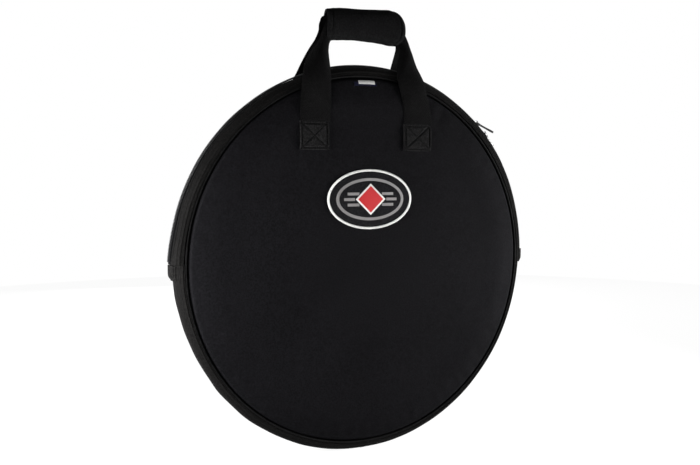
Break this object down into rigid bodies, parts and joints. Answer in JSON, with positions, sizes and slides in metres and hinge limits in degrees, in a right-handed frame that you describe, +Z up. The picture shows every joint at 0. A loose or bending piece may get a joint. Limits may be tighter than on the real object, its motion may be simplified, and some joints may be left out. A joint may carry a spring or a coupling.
{
  "type": "cymbal bag",
  "caption": "Slim round padded soft case for cymbals, with a two-slider zip round its upper half, a fold-down front and two webbing handles held together by a padded wrap.",
  "frame": {"origin": "on the floor under the middle of the case, which stands on its rim", "axes": "+Z up through the grip, -Y towards the front panel with the badge, +X to the right as seen from the front"},
  "size_m": [0.6178, 0.0612, 0.6963],
  "materials": {
    "case_cloth": "matt woven nylon",
    "rim_cloth": "matt woven nylon",
    "lining": "brushed fleece",
    "foam": "closed-cell foam",
    "piping": "smooth cloth over cord",
    "zip_tape": "woven tape",
    "zip_coil": "nylon coil",
    "webbing": "ribbed webbing",
    "grip": "smooth cloth",
    "slider_metal": "bright plated",
    "pull_coated": "satin black",
    "badge_ground": "woven patch",
    "badge_white": "woven thread",
    "badge_red": "woven thread",
    "badge_grey": "woven thread",
    "label": "woven label"
  },
  "bodies": {
    "case": {"back_panel_shell": "case_cloth", "back_panel_foam": "foam", "back_panel_lining": "lining", "front_lower_shell": "case_cloth", "front_lower_foam": "foam", "front_lower_lining": "lining", "lower_gusset_shell": "rim_cloth", "lower_gusset_foam": "foam", "lower_gusset_lining": "lining", "rear_band_shell": "rim_cloth", "rear_band_lining": "lining", "rear_zip_tape": "zip_tape", "rear_zip_coil": "zip_coil", "back_piping": "piping", "front_piping_lower": "piping", "back_binding": "zip_tape", "front_binding_lower": "zip_tape", "zip_end_tab_left": "webbing", "zip_end_tab_right": "webbing", "back_anchor_left": "webbing", "back_anchor_right": "webbing"},
    "lid": {"front_upper_shell": "case_cloth", "front_upper_foam": "foam", "front_upper_lining": "lining", "front_band_shell": "rim_cloth", "front_band_lining": "lining", "front_zip_tape": "zip_tape", "front_zip_coil": "zip_coil", "front_piping_upper": "piping", "front_binding_upper": "zip_tape", "badge_base": "badge_ground", "badge_border": "badge_white", "badge_lozenge": "badge_red", "badge_bar_left": "badge_grey", "badge_bar_right": "badge_grey", "top_label": "label", "front_anchor_left": "webbing", "front_anchor_right": "webbing"},
    "front_handle": {"front_webbing": "webbing"},
    "back_handle": {"back_webbing": "webbing", "grip_back_cover": "grip", "grip_back_pad": "foam", "grip_loop_strip": "lining"},
    "grip_flap": {"grip_flap_cover": "grip", "grip_flap_pad": "foam", "grip_hook_strip": "zip_tape"},
    "slider_left": {"slider_left_body": "slider_metal"},
    "slider_right": {"slider_right_body": "slider_metal"},
    "pull_left": {"pull_left": "pull_coated"},
    "pull_right": {"pull_right": "pull_coated"}
  },
  "joints": [
    {"name": "lid_fold", "type": "hinge", "parent": "case", "child": "lid", "pos_m": [0, -0.0285, 0.3128], "axis": [1, 0, 0], "range_deg": [0, 120]},
    {"name": "front_handle_fold", "type": "hinge", "parent": "lid", "child": "front_handle", "pos_m": [0, -0.03067, 0.5223], "axis": [1, 0, 0], "range_deg": [0, 150]},
    {"name": "back_handle_fold", "type": "hinge", "parent": "case", "child": "back_handle", "pos_m": [0, 0.03067, 0.5223], "axis": [-1, 0, 0], "range_deg": [0, 150]},
    {"name": "grip_flap_fold", "type": "hinge", "parent": "back_handle", "child": "grip_flap", "pos_m": [0, 0, 0.6963], "axis": [-1, 0, 0], "range_deg": [0, 150]},
    {"name": "slider_left_run", "type": "hinge", "parent": "case", "child": "slider_left", "pos_m": [0, 0, 0.3028], "axis": [0, -1, 0], "range_deg": [0, 127]},
    {"name": "slider_right_run", "type": "hinge", "parent": "case", "child": "slider_right", "pos_m": [0, 0, 0.3028], "axis": [0, 1, 0], "range_deg": [0, 36]},
    {"name": "pull_left_swing", "type": "hinge", "parent": "slider_left", "child": "pull_left", "pos_m": [0.21734, 0, 0.52971], "axis": [0, -1, 0], "range_deg": [0, 150]},
    {"name": "pull_right_swing", "type": "hinge", "parent": "slider_right", "child": "pull_right", "pos_m": [0.23362, 0, 0.5129], "axis": [0, -1, 0], "range_deg": [0, 150]}
  ]
}
